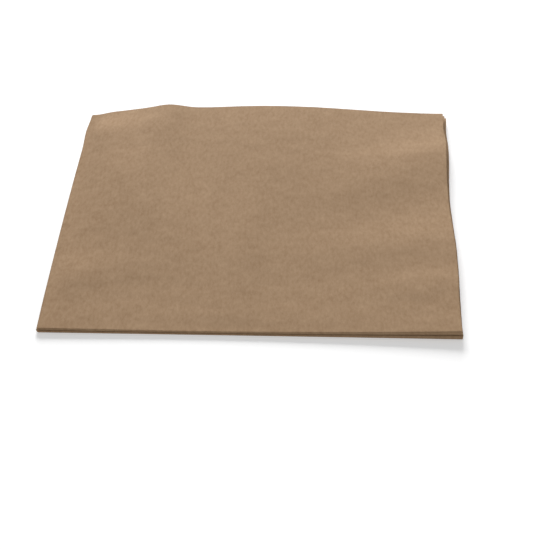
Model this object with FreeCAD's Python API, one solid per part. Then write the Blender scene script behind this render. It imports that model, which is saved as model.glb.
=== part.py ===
"""Paper napkin: one square sheet of two-ply tissue, folded in half twice.

Millimetres, +Z up. The napkin lies flat on z = 0 with the middle of its footprint at the origin.
The first fold runs along the near edge, where two rounded folds lie one above the other. The second
fold wraps all the layers at the left edge. The right and far edges show the cut edges of four layers.
"""

import FreeCAD, Part
import math
import os

# Sheet
sheet_side = 330.0
sheet_thickness = 0.25

# Folds: how far each one lies off the sheet's middle, and the air that stays between pressed layers
first_fold_offset = 0.5
second_fold_offset = 0.4
crease_gap = 0.2

# How far the leaves and runs have slid over one another along the near edge, as a share of how far
# they have at the far one
near_slide = 0.25

# Spring of the paper at its folds and cut edges, as heights above the pressed stack
corner_swell_height = 0.5
corner_swell_reach = 42.0
right_edge_height = 2.25
far_edge_height = 0.37

# The second fold bows out along its whole length, and once more close to its far end
left_fold_bow = 0.95
left_fold_bulge = 0.6
bulge_reach = 9.0
bulge_from_far_edge = 14.5

# The right cut edge isn't quite straight: a shallow wave, with a crest this far from the near edge
cut_edge_wave = 0.5
cut_edge_wavelength = 92.0
cut_edge_crest = 50.0

# Soft waves of the layers, which die away this far from a fold. Each has a height, a half width across
# it, a half length along it, a heading in degrees from +X, and a place as shares of the folded side,
# measured from the left and near folds. The first three lift the far edge.
wave_blend = 6.0
waves = [
    {"height": 5.6, "half_width": 58.0, "half_length": 92.0, "heading": 90.0, "place": (0.51, 1.0)},
    {"height": 2.0, "half_width": 18.0, "half_length": 90.0, "heading": 84.0, "place": (0.185, 1.0)},
    {"height": 1.4, "half_width": 8.0, "half_length": 60.0, "heading": 90.0, "place": (0.223, 1.0)},
    {"height": 0.3, "half_width": 9.0, "half_length": 60.0, "heading": 15.0, "place": (0.96, 0.79)},
    {"height": 0.9, "half_width": 16.0, "half_length": 47.0, "heading": 10.0, "place": (0.885, 0.355)},
    {"height": 0.55, "half_width": 10.0, "half_length": 24.0, "heading": 9.0, "place": (0.92, 0.185)},
    {"height": 1.2, "half_width": 13.0, "half_length": 52.0, "heading": 13.0, "place": (-0.115, 0.175)},
    {"height": 1.2, "half_width": 14.0, "half_length": 23.0, "heading": 5.0, "place": (0.02, 0.88)},
    {"height": 0.8, "half_width": 10.0, "half_length": 46.0, "heading": 85.0, "place": (0.475, 0.385)},
    {"height": 1.3, "half_width": 20.0, "half_length": 50.0, "heading": 129.0, "place": (0.1, 0.71)},
    {"height": 1.3, "half_width": 18.0, "half_length": 44.0, "heading": 36.0, "place": (0.9, 0.705)},
    {"height": 1.3, "half_width": 25.0, "half_length": 36.0, "heading": 127.0, "place": (0.2, 0.425)},
]

# How each lift of the top layer is shared by the three spaces between the four layers, from the table up
spring_shares = (0.45, 0.1, 0.45)
wave_shares = (0.18, 0.55, 0.27)

# Spans of the surfaces across one folded panel, their degree, and the flats that each fold is pressed into
panel_spans = 26
degree = 3
fold_flats = 6

folded_side = sheet_side / 2.0

# A half turn from straight down, through -X, to straight up: how far out and how far up each corner is
fold_round = [
    (-math.sin(math.pi * k / fold_flats), -math.cos(math.pi * k / fold_flats)) for k in range(fold_flats + 1)
]
panel_knots = [float(k) for k in range(panel_spans + 1)]
panel_mults = [degree + 1] + [1] * (panel_spans - 1) + [degree + 1]


def panel_shares():
    """Shares of a panel's length at which its control points lie: the mean of each run of knots."""
    full = [0.0] * degree + panel_knots + [float(panel_spans)] * degree
    count = panel_spans + degree
    return [sum(full[i + 1 : i + 1 + degree]) / degree / panel_spans for i in range(count)]


shares = panel_shares()


def eased(index):
    """The share that a control point takes its height from: the second row repeats the fold's own,
    so that every panel leaves its fold without a kink."""
    return 0.0 if index <= 1 else shares[index]


def mix(start, end, share):
    return start + (end - start) * share


def rise(distance, reach):
    """A smooth rise from 0 at a fold towards 1, level where it starts."""
    return 1.0 - math.exp(-((distance / reach) ** 2))


def wave_height(wave, x, y):
    """A soft ridge: a bell across its heading times a longer bell along it."""
    turn = math.radians(wave["heading"])
    dx = x - wave["place"][0] * folded_side
    dy = y - wave["place"][1] * folded_side
    along = dx * math.cos(turn) + dy * math.sin(turn)
    across = dy * math.cos(turn) - dx * math.sin(turn)
    return wave["height"] * math.exp(
        -((along / wave["half_length"]) ** 2) - (across / wave["half_width"]) ** 2
    )


def spring_height(share_x, share_y):
    """Lift of the top layer where the folded corner and the cut edges spring open."""
    x = share_x * folded_side
    y = share_y * folded_side
    corner = corner_swell_height * math.exp(-(x**2 + y**2) / corner_swell_reach**2)
    return corner + right_edge_height * share_x**3 + far_edge_height * share_y**2


def waves_height(share_x, share_y):
    """Lift of the top layer by the soft waves, level at both folds."""
    x = share_x * folded_side
    y = share_y * folded_side
    total = sum(wave_height(wave, x, y) for wave in waves)
    return total * rise(x, wave_blend) * rise(y, wave_blend)


def layer_levels(share_x, share_y):
    """Lower and upper face of the four layers, from the table up."""
    spring = spring_height(share_x, share_y)
    waving = waves_height(share_x, share_y)
    levels = [(0.0, sheet_thickness)]
    for spring_share, wave_share in zip(spring_shares, wave_shares):
        under = levels[-1][1] + crease_gap + spring * spring_share + waving * wave_share
        levels.append((under, under + sheet_thickness))
    return levels


def side_levels(share_x, share_y, outside):
    """Levels of one side of the sheet on the four panels. The outside faces the table on the first
    layer, up on the second, down on the third and up on the fourth; the inside is the other face."""
    first, second, third, fourth = layer_levels(share_x, share_y)
    faces = (0, 1, 0, 1) if outside else (1, 0, 1, 0)
    return {
        ("outer", "low"): first[faces[0]],
        ("inner", "low"): second[faces[1]],
        ("inner", "high"): third[faces[2]],
        ("outer", "high"): fourth[faces[3]],
    }


def left_line(share_y):
    """The second fold's own line: bowed out between its ends, with a soft bulge near the far one."""
    from_bulge = folded_side * (1.0 - share_y) - bulge_from_far_edge
    bulge = left_fold_bulge * math.exp(-((from_bulge / bulge_reach) ** 2))
    return -4.0 * left_fold_bow * share_y * (1.0 - share_y) - bulge


def cut_edge_line(share_y):
    """How far the right cut edge stands out from a straight line."""
    from_crest = share_y * folded_side - cut_edge_crest
    return cut_edge_wave * math.cos(2.0 * math.pi * from_crest / cut_edge_wavelength)


def run_across(share_y, leaf, run):
    """Length of a panel from the second fold to its cut edge: the sheet's half, less the part of it
    that goes round the fold."""
    first, second, third, fourth = [sum(level) / 2.0 for level in layer_levels(0.0, share_y)]
    slide = mix(near_slide, 1.0, share_y)
    outer_radius = (fourth - first) / 2.0
    inner_radius = (third - second) / 2.0
    radius = outer_radius if leaf == "outer" else mix(outer_radius, inner_radius, slide)
    offset = second_fold_offset * slide if run == "low" else -second_fold_offset * slide
    return folded_side + offset + cut_edge_line(share_y) - math.pi * radius / 2.0


def run_deep(share_x, leaf, run):
    """Length of a panel from the first fold to its cut edge."""
    levels = layer_levels(share_x, 0.0)
    low, high = (levels[0], levels[1]) if run == "low" else (levels[2], levels[3])
    radius = (high[0] + high[1] - low[0] - low[1]) / 4.0
    offset = -first_fold_offset if leaf == "outer" else first_fold_offset
    return folded_side + offset - math.pi * radius / 2.0


def turned(index):
    """How far round a fold one of its corners is, from 0 to 1."""
    return (1.0 + fold_round[index][1]) / 2.0


def panel_net(outside, leaf, run):
    """Control points of one flat panel, from the second fold across and from the first fold back."""
    net = []
    for i, a in enumerate(shares):
        row = []
        for j, b in enumerate(shares):
            x = left_line(eased(j)) + a * run_across(eased(j), leaf, run)
            y = b * run_deep(eased(i), leaf, run)
            row.append((x, y, side_levels(eased(i), eased(j), outside)[(leaf, run)]))
        net.append(row)
    return net


def first_fold_net(outside, run):
    """The rounded fold along the near edge that joins the outer and inner leaf of one run."""
    net = []
    for i, a in enumerate(shares):
        levels = side_levels(eased(i), 0.0, outside)
        start, end = levels[("outer", run)], levels[("inner", run)]
        row = []
        for j, (out, up) in enumerate(fold_round):
            reach = mix(run_across(0.0, "outer", run), run_across(0.0, "inner", run), turned(j))
            y = out * abs(end - start) / 2.0
            x = left_line(0.0) + a * reach
            row.append((x, y, (start + end) / 2.0 + up * (end - start) / 2.0))
        net.append(row)
    return net


def second_fold_net(outside, leaf):
    """The rounded fold at the left edge that joins the low and high run of one leaf."""
    net = []
    for i, (out, up) in enumerate(fold_round):
        row = []
        for j, b in enumerate(shares):
            levels = side_levels(0.0, eased(j), outside)
            low, high = levels[(leaf, "low")], levels[(leaf, "high")]
            radius = (high - low) / 2.0
            depth = mix(run_deep(0.0, leaf, "low"), run_deep(0.0, leaf, "high"), turned(i))
            x = left_line(eased(j)) + out * radius
            row.append((x, b * depth, (low + high) / 2.0 + up * radius))
        net.append(row)
    return net


def corner_net(outside):
    """The near left corner, where the first fold's round is carried on round the second fold."""
    levels = side_levels(0.0, 0.0, outside)
    low_start, low_end = levels[("outer", "low")], levels[("inner", "low")]
    high_start, high_end = levels[("outer", "high")], levels[("inner", "high")]
    net = []
    for i, (out_x, up_x) in enumerate(fold_round):
        row = []
        for out_y, up_y in fold_round:
            low = (low_start + low_end) / 2.0 + up_y * (low_end - low_start) / 2.0
            high = (high_start + high_end) / 2.0 + up_y * (high_end - high_start) / 2.0
            depth = mix(abs(low_end - low_start), abs(high_end - high_start), turned(i)) / 2.0
            radius = (high - low) / 2.0
            x = left_line(0.0) + out_x * radius
            row.append((x, out_y * depth, (low + high) / 2.0 + up_x * radius))
        net.append(row)
    return net


def side_nets(outside):
    """All nine surfaces of one side of the sheet, named by where they lie."""
    nets = {"corner": corner_net(outside)}
    for leaf in ("outer", "inner"):
        nets["second fold, " + leaf] = second_fold_net(outside, leaf)
        for run in ("low", "high"):
            nets[leaf + ", " + run] = panel_net(outside, leaf, run)
    for run in ("low", "high"):
        nets["first fold, " + run] = first_fold_net(outside, run)
    return nets


def basis(count):
    """Knots, multiplicities and degree for a row of control points."""
    if count == 2:
        return [0.0, 1.0], [2, 2], 1
    return panel_knots, panel_mults, degree


def surface_face(net):
    points = [[FreeCAD.Vector(*point) for point in row] for row in net]
    u_knots, u_mults, u_degree = basis(len(net))
    v_knots, v_mults, v_degree = basis(len(net[0]))
    surface = Part.BSplineSurface()
    surface.buildFromPolesMultsKnots(
        points, u_mults, v_mults, u_knots, v_knots, False, False, u_degree, v_degree
    )
    return surface.toShape()


def flats(net):
    """The net cut into the flats of its folds, one pair of rows or columns at a time."""
    if len(net) == len(fold_round):
        return [piece for pair in zip(net, net[1:]) for piece in flats(list(pair))]
    if len(net[0]) == len(fold_round):
        return [[row[k : k + 2] for row in net] for k in range(fold_flats)]
    return [net]


def border_edge(row):
    knots, mults, row_degree = basis(len(row))
    curve = Part.BSplineCurve()
    curve.buildFromPolesMultsKnots(
        [FreeCAD.Vector(*point) for point in row], mults, knots, False, row_degree
    )
    return curve.toShape()


def flat_face(net):
    """The underside that rests on the table: a true plane inside the panel's own four borders."""
    borders = [net[0], [row[-1] for row in net], net[-1], [row[0] for row in net]]
    return Part.Face(Part.Wire(Part.__sortEdges__([border_edge(border) for border in borders])))


def cut_edges(outside_nets, inside_nets):
    """The raw edge of the paper, right round the sheet, as strips between its two sides."""
    strips = []
    for name, outer_net in outside_nets.items():
        inner_net = inside_nets[name]
        if len(outer_net) == len(shares):
            strips.append([outer_net[-1], inner_net[-1]])
        if len(outer_net[0]) == len(shares):
            strips.append([[row[-1] for row in outer_net], [row[-1] for row in inner_net]])
    return strips


def centred(nets, shift_x, shift_y):
    return {
        name: [[(x + shift_x, y + shift_y, z) for x, y, z in row] for row in net]
        for name, net in nets.items()
    }


outside_nets = side_nets(True)
inside_nets = side_nets(False)

every_point = [point for net in outside_nets.values() for row in net for point in row]
middle_x = (min(p[0] for p in every_point) + max(p[0] for p in every_point)) / 2.0
middle_y = (min(p[1] for p in every_point) + max(p[1] for p in every_point)) / 2.0
outside_nets = centred(outside_nets, -middle_x, -middle_y)
inside_nets = centred(inside_nets, -middle_x, -middle_y)

resting = "outer, low"
faces = [flat_face(outside_nets[resting])]
curved = [net for name, net in outside_nets.items() if name != resting]
curved += list(inside_nets.values()) + cut_edges(outside_nets, inside_nets)
faces += [surface_face(piece) for net in curved for piece in flats(net)]

skin = Part.makeCompound(faces)
skin.sewShape()
napkin = Part.Solid(skin.Shells[0])
if napkin.Volume < 0.0:
    napkin.reverse()

os.makedirs("parts", exist_ok=True)
napkin.exportStep("parts/napkin.step")
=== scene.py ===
"""Paper napkin: one square sheet of brown kraft tissue, folded in half twice and lying flat.

Metres, +Z up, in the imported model's frame. The first fold runs along the near edge as two rounded
folds, one above the other. The second fold wraps all the layers at the left edge.
"""

import math

import bpy
import numpy as np
from mathutils import Matrix, Vector


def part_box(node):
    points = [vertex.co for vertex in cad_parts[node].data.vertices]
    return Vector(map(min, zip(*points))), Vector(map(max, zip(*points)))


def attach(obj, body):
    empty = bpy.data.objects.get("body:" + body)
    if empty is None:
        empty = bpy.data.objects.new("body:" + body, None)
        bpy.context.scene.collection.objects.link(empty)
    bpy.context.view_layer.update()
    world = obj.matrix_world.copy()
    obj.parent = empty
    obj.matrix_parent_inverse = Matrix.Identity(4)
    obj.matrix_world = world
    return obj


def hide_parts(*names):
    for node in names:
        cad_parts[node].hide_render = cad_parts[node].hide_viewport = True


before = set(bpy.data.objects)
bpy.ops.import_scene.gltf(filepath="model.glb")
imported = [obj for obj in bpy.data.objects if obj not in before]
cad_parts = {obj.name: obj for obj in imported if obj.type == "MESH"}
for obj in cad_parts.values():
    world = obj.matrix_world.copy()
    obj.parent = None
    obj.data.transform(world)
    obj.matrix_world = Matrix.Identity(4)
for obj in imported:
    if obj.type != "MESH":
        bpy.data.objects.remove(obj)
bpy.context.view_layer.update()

MM = 0.001

# Sheet and folds
SHEET_SIDE = 330.0 * MM
SHEET_THICKNESS = 0.25 * MM
FIRST_FOLD_OFFSET = 0.5 * MM
SECOND_FOLD_OFFSET = 0.4 * MM
CREASE_GAP = 0.2 * MM
NEAR_SLIDE = 0.25
PANEL = SHEET_SIDE / 2

# Spring of the paper at its folds and cut edges, as heights above the pressed stack
CORNER_SWELL_HEIGHT = 0.5 * MM
CORNER_SWELL_REACH = 42.0 * MM
RIGHT_EDGE_HEIGHT = 2.25 * MM
FAR_EDGE_HEIGHT = 0.37 * MM

# The second fold's line bows out, and bulges once more close to its far end
LEFT_FOLD_BOW = 0.95 * MM
LEFT_FOLD_BULGE = 0.6 * MM
BULGE_REACH = 9.0 * MM
BULGE_FROM_FAR_EDGE = 14.5 * MM

# The right cut edge isn't quite straight: a shallow wave, with a crest this far from the near edge
CUT_EDGE_WAVE = 0.5 * MM
CUT_EDGE_WAVELENGTH = 92.0 * MM
CUT_EDGE_CREST = 50.0 * MM

# Soft waves: height, half width across, half length along, heading in degrees, and place on the
# panel as shares of its side. They die away this far from a fold.
WAVE_BLEND = 6.0 * MM
WAVES = [
    (5.6 * MM, 58.0 * MM, 92.0 * MM, 90.0, (0.51, 1.0)),
    (2.0 * MM, 18.0 * MM, 90.0 * MM, 84.0, (0.185, 1.0)),
    (1.4 * MM, 8.0 * MM, 60.0 * MM, 90.0, (0.223, 1.0)),
    (0.3 * MM, 9.0 * MM, 60.0 * MM, 15.0, (0.96, 0.79)),
    (0.9 * MM, 16.0 * MM, 47.0 * MM, 10.0, (0.885, 0.355)),
    (0.55 * MM, 10.0 * MM, 24.0 * MM, 9.0, (0.92, 0.185)),
    (1.2 * MM, 13.0 * MM, 52.0 * MM, 13.0, (-0.115, 0.175)),
    (1.2 * MM, 14.0 * MM, 23.0 * MM, 5.0, (0.02, 0.88)),
    (0.8 * MM, 10.0 * MM, 46.0 * MM, 85.0, (0.475, 0.385)),
    (1.3 * MM, 20.0 * MM, 50.0 * MM, 129.0, (0.1, 0.71)),
    (1.3 * MM, 18.0 * MM, 44.0 * MM, 36.0, (0.9, 0.705)),
    (1.3 * MM, 25.0 * MM, 36.0 * MM, 127.0, (0.2, 0.425)),
]

# How each lift of the top layer is shared by the three spaces between the four layers
SPRING_SHARES = (0.45, 0.1, 0.45)
WAVE_SHARES = (0.18, 0.55, 0.27)

# Fine crinkle of the tissue
CRINKLE_SLOPE = 0.006
CRINKLE_WAVELENGTHS = (5.0 * MM, 13.0 * MM)
CRINKLE_COUNT = 48

# Unevenness of the cut edges: its height, how many waves each of its parts has along an edge with
# the share that it takes, where each edge starts in them, and the power of the share of the way to
# an edge by which it fades into the panel
CUT_WOBBLE = 0.1 * MM
WOBBLE_PARTS = ((3.1, 0.5), (7.7, 0.3), (19.0, 0.2))
RIGHT_EDGE_PHASE = 1.0
FAR_EDGE_PHASE = 5.0
WOBBLE_FADE = 4
PLY_GROOVE = 0.07 * MM

# The flat sheet's layout in its unit square: how much of the sheet a fold's arc takes, how wide and
# deep each side lies, how far apart the sides are, and how far the cut edge's strips reach beyond
FOLD_ARC = 1.2 * MM
LAYOUT_SIZE = (0.48, 0.97)
LAYOUT_STEP = 0.5
LAYOUT_BEYOND = 1.02

# Painted shade: how much darker the tissue is painted on the round of a fold, and on the panels
# beside the first fold and, more, beside the second one, darker towards those folded edges
CREASE_PAINTED_SHADE = 0.04
FIRST_FOLD_PAINTED_SHADE = 0.015
SECOND_FOLD_PAINTED_SHADE = 0.06
FOLD_SHADE_REACH = 22.0 * MM

# Cells of the mesh along each run of the sheet: the panel underneath, the fold and the panel on
# top, how much shorter they are at its ends, and the angle in degrees past which an edge is sharp
UNDER_CELLS = 60
FOLD_CELLS = 12
TOP_CELLS = 146
CELL_EASING = 0.5
SHARP_ANGLE = 40.0


def bell(distance, reach):
    """A bell curve: 1 at no distance, falling off as the square of distance over reach grows."""
    return np.exp(-((distance / reach) ** 2))


def mix(start, end, share):
    """The value that lies the given share of the way from start to end."""
    return start + (end - start) * share


def run_along(first_cells, second_cells):
    """Places along the sheet as two arrays: the share of the panel's length from its fold, which
    falls from 1 to 0 on the first panel and rises from 0 to 1 on the second, and the turn round the
    fold, which goes from 0 to pi between them. Each panel's even shares have the easing's part of
    one sine wave taken off, so that its cells are shorter at both ends."""
    def spaced(cells):
        even = np.linspace(0.0, 1.0, cells + 1)
        return even - CELL_EASING * np.sin(2 * math.pi * even) / (2 * math.pi)

    first, second = spaced(first_cells)[::-1], spaced(second_cells)
    turns = np.linspace(0.0, math.pi, FOLD_CELLS + 1)[1:-1]
    share = np.concatenate([first, np.zeros(len(turns)), second])
    turn = np.concatenate([np.zeros(len(first)), turns, np.full(len(second), math.pi)])
    return share, turn


def spring_height(across, deep):
    """Lift where the paper springs open: a bell round the double-folded corner, a rise with the
    cube of the share across towards the right cut edge, and one with the square of the share deep
    towards the far one."""
    corner = CORNER_SWELL_HEIGHT * bell(np.hypot(across, deep) * PANEL, CORNER_SWELL_REACH)
    return corner + RIGHT_EDGE_HEIGHT * across**3 + FAR_EDGE_HEIGHT * deep**2


def level_at_folds(height, across, deep):
    """The height less two bells of it, one at each fold, so that it is none there."""
    return height * (1 - bell(across * PANEL, WAVE_BLEND)) * (1 - bell(deep * PANEL, WAVE_BLEND))


def waves_height(across, deep):
    """Sum of the soft waves. Each is a bell across its heading times a longer bell along it, and
    all of them die away at the two folds."""
    total = 0.0
    for height, half_width, half_length, heading, place in WAVES:
        turn = math.radians(heading)
        x, y = (across - place[0]) * PANEL, (deep - place[1]) * PANEL
        along = x * math.cos(turn) + y * math.sin(turn)
        beside = y * math.cos(turn) - x * math.sin(turn)
        total = total + height * bell(along, half_length) * bell(beside, half_width)
    return level_at_folds(total, across, deep)


def crinkle(across, deep, seed):
    """Fine unevenness of creped tissue: a sum of sine waves whose headings, lengths and phases are
    drawn once from the seed, each with the same slope, and level at the two folds."""
    draw = np.random.RandomState(seed)
    headings = draw.uniform(0.0, math.pi, CRINKLE_COUNT)
    lengths = draw.uniform(*CRINKLE_WAVELENGTHS, CRINKLE_COUNT)
    phases = draw.uniform(0.0, 2 * math.pi, CRINKLE_COUNT)
    slope = CRINKLE_SLOPE * math.sqrt(2.0 / CRINKLE_COUNT)
    total = 0.0
    for heading, length, phase in zip(headings, lengths, phases):
        step = 2 * math.pi / length
        travel = (across * math.cos(heading) + deep * math.sin(heading)) * PANEL
        total = total + slope / step * np.sin(travel * step + phase)
    return level_at_folds(total, across, deep)


def layer_heights(across, deep):
    """Undersides of the four layers: each lies one thickness, the crease gap and its share of the
    spring, waves and crinkle above the one below it."""
    spring, waving = spring_height(across, deep), waves_height(across, deep)
    heights = [0.0 * spring]
    for seed, (spring_share, wave_share) in enumerate(zip(SPRING_SHARES, WAVE_SHARES)):
        lift = spring * spring_share + waving * wave_share
        space = CREASE_GAP + lift + crinkle(across, deep, seed)
        heights.append(heights[-1] + SHEET_THICKNESS + space)
    return heights


def cut_wobble(share, phase):
    """Unevenness along a cut edge: sine waves of the share along it, moved on by the phase."""
    total = 0.0
    for waves, part in WOBBLE_PARTS:
        total = total + part * np.sin(2 * math.pi * waves * share + phase * waves)
    return CUT_WOBBLE * total


def left_line(deep):
    """The second fold's line: a parabola between its ends, and a bell near the far one."""
    bulge = LEFT_FOLD_BULGE * bell((1 - deep) * PANEL - BULGE_FROM_FAR_EDGE, BULGE_REACH)
    return -4 * LEFT_FOLD_BOW * deep * (1 - deep) - bulge


def cut_edge_line(deep):
    """How far the right cut edge stands out from a straight line: a cosine of the place on it."""
    from_crest = deep * PANEL - CUT_EDGE_CREST
    return CUT_EDGE_WAVE * np.cos(2 * math.pi * from_crest / CUT_EDGE_WAVELENGTH)


def sheet_side(across, turn_2, deep, turn_1, outside):
    """One side of the sheet as x, y and z. A point's height goes from the outer to the inner leaf
    as it turns round the first fold, and from the low to the high run as it turns round the second.
    Each fold is half a circle between the two heights that it joins, and its length is taken off
    the runs. At the near edge the leaves have slid over one another by only the near slide's share
    of that."""
    faces = (0, 1, 0, 1) if outside else (1, 0, 1, 0)
    heights = [h + face * SHEET_THICKNESS for h, face in zip(layer_heights(across, deep), faces)]
    leaf, run = (1 - np.cos(turn_1)) / 2, (1 - np.cos(turn_2)) / 2
    low, high = mix(heights[0], heights[1], leaf), mix(heights[3], heights[2], leaf)
    near_round = mix(heights[1] - heights[0], heights[3] - heights[2], run) / 2

    at_left, at_near = layer_heights(0 * across, deep), layer_heights(across, 0 * deep)
    slide = mix(NEAR_SLIDE, 1.0, deep)
    left_radius = mix(at_left[3] - at_left[0], at_left[2] - at_left[1], leaf * slide) / 2
    near_radius = mix(at_near[1] - at_near[0], at_near[3] - at_near[2], run) / 2
    run_across = PANEL + SECOND_FOLD_OFFSET * slide * np.cos(turn_2) - math.pi / 2 * left_radius
    run_deep = PANEL - FIRST_FOLD_OFFSET * np.cos(turn_1) - math.pi / 2 * near_radius
    right_wobble = cut_wobble(deep, RIGHT_EDGE_PHASE + 2 * run + leaf)
    far_wobble = cut_wobble(across, FAR_EDGE_PHASE + 2 * leaf + run)
    run_across = run_across + cut_edge_line(deep) + right_wobble * across**WOBBLE_FADE
    run_deep = run_deep + far_wobble * deep**WOBBLE_FADE

    x = left_line(deep) + across * run_across - np.sin(turn_2) * (high - low) / 2
    y = deep * run_deep - np.sin(turn_1) * near_round
    return np.stack(np.broadcast_arrays(x, y, mix(low, high, run)), axis=-1)


def flat_lengths(share, turn):
    """Distance along the flat sheet from its first cut edge, as a share of its side: half the sheet
    less or more the distance from the fold, which is the run's own share of its length and half the
    arc."""
    arc = FOLD_ARC / SHEET_SIDE
    side_of_fold = np.where(turn < math.pi / 2, -1.0, 1.0)
    return 0.5 + side_of_fold * share * (1 - arc) / 2 + arc * (turn / math.pi - 0.5)


def fold_painted_shade(across, turn_2, deep, turn_1):
    """How much painted shade the tissue gets at its folds: most on the round of a fold, as the sine
    of the turn round it, and a little on the panels beside it, darker towards each fold, as a bell
    of the distance from each fold."""
    # Painted shade on the panels beside the two folds
    shade_beside_folds = SECOND_FOLD_PAINTED_SHADE * bell(across * PANEL, FOLD_SHADE_REACH)
    shade_beside_folds = shade_beside_folds + FIRST_FOLD_PAINTED_SHADE * bell(deep * PANEL, FOLD_SHADE_REACH)
    return shade_beside_folds + CREASE_PAINTED_SHADE * np.maximum(np.sin(turn_2), np.sin(turn_1))


def make_napkin():
    """The folded sheet as one closed mesh: a grid for its outside, one for its inside, and two
    strips round the cut edge that meet in a shallow groove between the plies. Returns the piece and
    the place where the axes of its two folds meet."""
    share_2, turn_2 = run_along(UNDER_CELLS, TOP_CELLS)
    share_1, turn_1 = run_along(TOP_CELLS, UNDER_CELLS)
    columns, rows = len(share_2), len(share_1)
    places = (share_2[:, None], turn_2[:, None], share_1[None, :], turn_1[None, :])
    outside, inside = sheet_side(*places, True), sheet_side(*places, False)

    index = np.arange(columns * rows).reshape(columns, rows)
    rim = np.concatenate([index[:-1, 0], index[-1, :-1], index[:0:-1, -1], index[0, :0:-1]])
    flat = [grid.reshape(-1, 3) for grid in (outside, inside)]
    middle = (flat[0][rim] + flat[1][rim]) / 2
    groove = middle + rim_inward(outside, index, rim) * PLY_GROOVE
    points = np.concatenate([flat[0], flat[1], groove])
    centre = (points.min(0) + points.max(0)) / 2
    low, high = (np.array(corner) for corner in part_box("napkin"))
    folds_meet = ((low + high) / 2 - centre)[:2]
    points[:, :2] += folds_meet

    quad = np.stack([index[:-1, :-1], index[:-1, 1:], index[1:, 1:], index[1:, :-1]], -1)
    quad = quad.reshape(-1, 4)
    count = columns * rows
    ring = 2 * count + np.arange(len(rim))
    after = np.roll(np.arange(len(rim)), -1)
    outer_strip = np.stack([rim, rim[after], ring[after], ring], -1)
    inner_strip = np.stack([ring, ring[after], count + rim[after], count + rim], -1)
    faces = np.concatenate([quad, quad[:, ::-1] + count, outer_strip, inner_strip])

    mesh = bpy.data.meshes.new("napkin_sheet")
    mesh.from_pydata(points, [], faces)
    lay_out_sheet(mesh, flat_lengths(share_2, turn_2), flat_lengths(share_1, turn_1), quad, rim)
    # Painted shade on and beside the folds, carried to the material in the crease attribute
    fold_shade = fold_painted_shade(*places).reshape(-1)
    values = np.concatenate([fold_shade, fold_shade, fold_shade[rim]]).astype(np.float32)
    mesh.attributes.new("crease", "FLOAT", "POINT").data.foreach_set("value", values)
    mesh.polygons.foreach_set("use_smooth", np.ones(len(mesh.polygons), bool))
    mesh.set_sharp_from_angle(angle=math.radians(SHARP_ANGLE))
    mesh.update()
    piece = bpy.data.objects.new("kraft_napkin", mesh)
    bpy.context.collection.objects.link(piece)
    return piece, folds_meet


def rim_inward(grid, index, rim):
    """Unit vectors along the paper that point in from the cut edge, at each point of the rim."""
    inner = index.copy()
    inner[0, :], inner[-1, :] = index[1, :], index[-2, :]
    inner[:, 0] = inner[:, 1]
    inner[:, -1] = inner[:, -2]
    flat = grid.reshape(-1, 3)
    step = flat[inner.reshape(-1)[rim]] - flat[rim]
    return step / np.linalg.norm(step, axis=1, keepdims=True)


def lay_out_sheet(mesh, across, deep, quad, rim):
    """UV map of the flat sheet, face by face in the mesh's order: the outside on the left half of
    the unit square, the inside on the right half, and each one's strip of cut edge just beyond its
    rim."""
    middle = np.array([LAYOUT_STEP, 1.0]) / 2
    places = np.stack(np.meshgrid(across, deep, indexing="ij"), -1).reshape(-1, 2) - 0.5
    side = middle + places * LAYOUT_SIZE
    edge = side[rim]
    beyond = middle + (edge - middle) * LAYOUT_BEYOND
    edge_after, beyond_after = np.roll(edge, -1, 0), np.roll(beyond, -1, 0)
    other_side = np.array([LAYOUT_STEP, 0.0])
    corners = np.concatenate([
        side[quad],
        side[quad[:, ::-1]] + other_side,
        np.stack([edge, edge_after, beyond_after, beyond], 1),
        np.stack([beyond, beyond_after, edge_after, edge], 1) + other_side,
    ])
    layer = mesh.uv_layers.new(name="flat_sheet")
    layer.data.foreach_set("uv", corners.astype(np.float32).reshape(-1))


class Nodes:
    """A material's or the world's node tree, built one node at a time."""

    def __init__(self, owner):
        owner.use_nodes = True
        self.tree = owner.node_tree
        self.tree.nodes.clear()

    def add(self, kind, inputs=None, **settings):
        """A new node. Each input is set to its value, or linked where it is another's output."""
        node = self.tree.nodes.new(kind)
        for name, value in settings.items():
            setattr(node, name, value)
        for socket, value in (inputs or {}).items():
            if isinstance(value, bpy.types.NodeSocket):
                self.tree.links.new(value, node.inputs[socket])
            else:
                node.inputs[socket].default_value = value
        return node

    def math(self, operation, first, second=0.0, third=0.0):
        """The output of a Math node."""
        values = {0: first, 1: second, 2: third}
        return self.add("ShaderNodeMath", values, operation=operation).outputs[0]


# Kraft tissue: its colour, and what one whole step of tone adds to it
KRAFT = (0.36, 0.238, 0.141)
KRAFT_STEP = (0.313, 0.248, 0.18)

# Its patterns: the turn in degrees, the width and length of one grain in millimetres, and how many
# finer levels there are. The fibres share all but the turn.
GRAIN = (0.0, 1.3, 3.0, 3.0)
CLOUD = (20.0, 7.0, 9.0, 2.0)
CREPE = (4.0, 0.5, 2.4, 2.0)
FIBRE_TURNS = (-28.0, 12.0, 64.0)
FIBRE = (0.12, 1.6, 1.0)
FIBRE_BEND = 0.4
FINER_SHARE = 0.6

# How strongly each pattern changes the tone, and its level at which it changes nothing
GRAIN_TONE = (0.54, 0.5)
CLOUD_TONE = (0.28, 0.5)
DARK_FIBRE_TONE = (0.08, 0.44)
LIGHT_FIBRE_TONE = (0.2, 0.56)

# Relief of the tissue, and how it takes the light
CREPE_RELIEF = 0.6
GRAIN_RELIEF = 0.4
RELIEF_STRENGTH = 0.5
RELIEF_DEPTH = 0.06 * MM
TISSUE_ROUGHNESS = 0.92
TISSUE_IOR = 1.4
TISSUE_SPECULAR = 0.08
TISSUE_SHEEN = 0.02
SHEEN_ROUGHNESS = 0.6
SHEEN_TINT = (1.0, 0.93, 0.84, 1.0)


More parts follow.
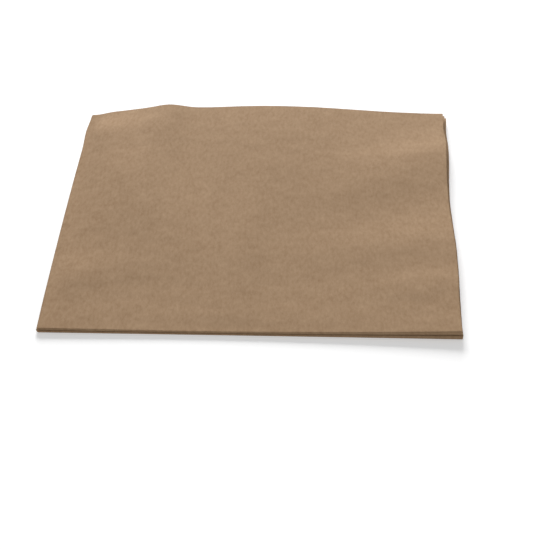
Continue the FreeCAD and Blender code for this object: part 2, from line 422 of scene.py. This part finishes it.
def kraft_tissue():
    """Unbleached tissue: a brown base, a fine grain a little longer down the sheet than across it,
    faint clouds where the pulp lies thicker, thin darker and lighter fibres, and a creped bump."""
    material = bpy.data.materials.new("kraft_tissue")
    nodes = Nodes(material)
    uv = nodes.add("ShaderNodeUVMap", uv_map="flat_sheet").outputs["UV"]
    side = SHEET_SIDE / MM
    sheet_scale = (side / LAYOUT_SIZE[0], side / LAYOUT_SIZE[1], 1.0)

    def pattern(turn, width, length, detail, bend=0.0):
        """Noise on the flat sheet, which is laid out in millimetres and then turned and drawn out,
        so that one unit is one grain."""
        flat = nodes.add("ShaderNodeMapping", {"Vector": uv, "Scale": sheet_scale}).outputs[0]
        drawn = {
            "Vector": flat,
            "Rotation": (0.0, 0.0, math.radians(turn)),
            "Scale": (1 / width, 1 / length, 1.0),
        }
        noise = {
            "Vector": nodes.add("ShaderNodeMapping", drawn).outputs[0],
            "Scale": 1.0,
            "Detail": detail,
            "Roughness": FINER_SHARE,
            "Distortion": bend,
        }
        return nodes.add("ShaderNodeTexNoise", noise).outputs["Fac"]

    def tone_of(value, contrast, level):
        """How far the value is from its level, times the contrast."""
        return nodes.math("MULTIPLY", nodes.math("SUBTRACT", value, level), contrast)

    grain, cloud, crepe = pattern(*GRAIN), pattern(*CLOUD), pattern(*CREPE)
    fibres = [pattern(turn, *FIBRE, bend=FIBRE_BEND) for turn in FIBRE_TURNS]
    dark = nodes.math("MINIMUM", fibres[0], fibres[1])
    light = nodes.math("MAXIMUM", fibres[1], fibres[2])
    # Painted shade on and beside the folds, read from the crease attribute and taken off the tone
    crease = nodes.add("ShaderNodeAttribute", attribute_name="crease").outputs["Fac"]

    tone = nodes.math("ADD", tone_of(grain, *GRAIN_TONE), tone_of(cloud, *CLOUD_TONE))
    tone = nodes.math("ADD", tone, tone_of(dark, *DARK_FIBRE_TONE))
    tone = nodes.math("ADD", tone, tone_of(light, *LIGHT_FIBRE_TONE))
    tone = nodes.math("SUBTRACT", tone, crease)
    steps = {0: KRAFT_STEP, 1: tone, 2: KRAFT}
    colour = nodes.add("ShaderNodeVectorMath", steps, operation="MULTIPLY_ADD").outputs[0]

    relief = nodes.math("MULTIPLY", grain, GRAIN_RELIEF)
    relief = nodes.math("MULTIPLY_ADD", crepe, CREPE_RELIEF, relief)
    raised = {"Height": relief, "Strength": RELIEF_STRENGTH, "Distance": RELIEF_DEPTH}
    shader = nodes.add(
        "ShaderNodeBsdfPrincipled",
        {
            "Base Color": colour,
            "Roughness": TISSUE_ROUGHNESS,
            "IOR": TISSUE_IOR,
            "Specular IOR Level": TISSUE_SPECULAR,
            "Sheen Weight": TISSUE_SHEEN,
            "Sheen Roughness": SHEEN_ROUGHNESS,
            "Sheen Tint": SHEEN_TINT,
            "Normal": nodes.add("ShaderNodeBump", raised).outputs[0],
        },
    )
    nodes.add("ShaderNodeOutputMaterial", {"Surface": shader.outputs[0]})
    return material


# Floor: its size and colour, and how much it is lifted where it is seen, near the napkin and far
WHITE = (1.0, 1.0, 1.0, 1.0)
FLOOR_SIZE = 12.0
FLOOR_COLOUR = (0.82, 0.82, 0.82, 1.0)
FLOOR_LIFT = 0.33
FAR_LIFT = 1.0
NEAR_REACH = 0.12
FAR_REACH = 0.9

# Light: the world's level, and each lamp's power, size and place
WORLD_LEVEL = 0.27
KEY_WATTS = 82.5
KEY_SIZE = 0.9
KEY_PLACE = (-0.19, 1.88, 0.65)
FILL_WATTS = 8.0
FILL_SIZE = 1.5
FILL_PLACE = (0.5, -1.5, 0.7)


def seen_directly(nodes):
    """1 for rays from the camera, straight or by way of gloss or glass, 0 for the light's own."""
    path = nodes.add("ShaderNodeLightPath")
    seen = nodes.math("MAXIMUM", path.outputs["Is Camera Ray"], path.outputs["Is Glossy Ray"])
    return nodes.math("MAXIMUM", seen, path.outputs["Is Transmission Ray"])


def make_floor():
    """A plain white floor that keeps the shadow. Where it is seen, it is lifted to white, and more
    so far away from the napkin, where the lamps reach it less."""
    half = FLOOR_SIZE / 2
    corners = [(x * half, y * half, 0.0) for x, y in ((-1, -1), (1, -1), (1, 1), (-1, 1))]
    mesh = bpy.data.meshes.new("floor")
    mesh.from_pydata(corners, [], [(0, 1, 2, 3)])
    floor = bpy.data.objects.new("floor", mesh)
    bpy.context.collection.objects.link(floor)
    material = bpy.data.materials.new("white_floor")
    nodes = Nodes(material)
    matt = nodes.add("ShaderNodeBsdfDiffuse", {"Color": FLOOR_COLOUR}).outputs[0]
    place = nodes.add("ShaderNodeTexCoord").outputs["Object"]
    distance = nodes.add("ShaderNodeVectorMath", {0: place}, operation="LENGTH").outputs["Value"]
    reach = {
        "Value": distance,
        "From Min": NEAR_REACH,
        "From Max": FAR_REACH,
        "To Min": FLOOR_LIFT,
        "To Max": FAR_LIFT,
    }
    fade = nodes.add("ShaderNodeMapRange", reach, interpolation_type="SMOOTHSTEP").outputs[0]
    lift = nodes.math("MULTIPLY", seen_directly(nodes), fade)
    glow = nodes.add("ShaderNodeEmission", {"Color": WHITE, "Strength": lift}).outputs[0]
    both = nodes.add("ShaderNodeAddShader", {0: matt, 1: glow}).outputs[0]
    nodes.add("ShaderNodeOutputMaterial", {"Surface": both})
    mesh.materials.append(material)


def make_world():
    """Even light from all round, and white where it is seen."""
    world = bpy.data.worlds.new("studio")
    bpy.context.scene.world = world
    nodes = Nodes(world)
    level = nodes.math("MAXIMUM", seen_directly(nodes), WORLD_LEVEL)
    sky = nodes.add("ShaderNodeBackground", {"Color": WHITE, "Strength": level}).outputs[0]
    nodes.add("ShaderNodeOutputWorld", {"Surface": sky})


def make_lamp(name, watts, size, place):
    """A square soft lamp that faces the napkin."""
    data = bpy.data.lights.new(name, "AREA")
    data.energy, data.size = watts, size
    lamp = bpy.data.objects.new(name, data)
    facing = Vector(place).to_track_quat("Z", "Y").to_matrix().to_4x4()
    lamp.matrix_world = Matrix.Translation(place) @ facing
    lamp.visible_camera = False
    bpy.context.collection.objects.link(lamp)


# Camera: where it aims on the floor, from the place where the folds meet, and from where it looks
IMAGE_WIDTH = 550.0
FOCAL_PIXELS = 1586.8
SENSOR_WIDTH = 36.0
AIM_FROM_FOLDS = (89.8 * MM, 40.1 * MM)
AZIMUTH = 2.5
ELEVATION = 35.713
ROLL = -0.613
DISTANCE = 643.07 * MM
CLIP = (0.01, 50.0)


def make_camera(folds_meet):
    """The camera looks back down its own +Z, which leaves the aim at the azimuth and elevation."""
    aim = Vector((folds_meet[0] + AIM_FROM_FOLDS[0], folds_meet[1] + AIM_FROM_FOLDS[1], 0.0))
    azimuth, elevation = math.radians(AZIMUTH), math.radians(ELEVATION)
    back = Vector((
        math.sin(azimuth) * math.cos(elevation),
        -math.cos(azimuth) * math.cos(elevation),
        math.sin(elevation),
    ))
    right = Vector((0, 0, 1)).cross(back).normalized()
    up = back.cross(right)
    level = Matrix((right, up, back)).transposed().to_4x4()
    data = bpy.data.cameras.new("camera")
    data.sensor_width = SENSOR_WIDTH
    data.lens = FOCAL_PIXELS * SENSOR_WIDTH / IMAGE_WIDTH
    data.clip_start, data.clip_end = CLIP
    camera = bpy.data.objects.new("camera", data)
    place = Matrix.Translation(aim + back * DISTANCE)
    camera.matrix_world = place @ level @ Matrix.Rotation(math.radians(ROLL), 4, "Z")
    bpy.context.collection.objects.link(camera)
    bpy.context.scene.camera = camera


bpy.context.scene.view_settings.view_transform = "Standard"
make_floor()
make_world()
make_lamp("key", KEY_WATTS, KEY_SIZE, KEY_PLACE)
make_lamp("fill", FILL_WATTS, FILL_SIZE, FILL_PLACE)
napkin, folds_meet = make_napkin()
make_camera(folds_meet)
napkin.data.materials.append(kraft_tissue())
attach(napkin, "root")
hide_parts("napkin")
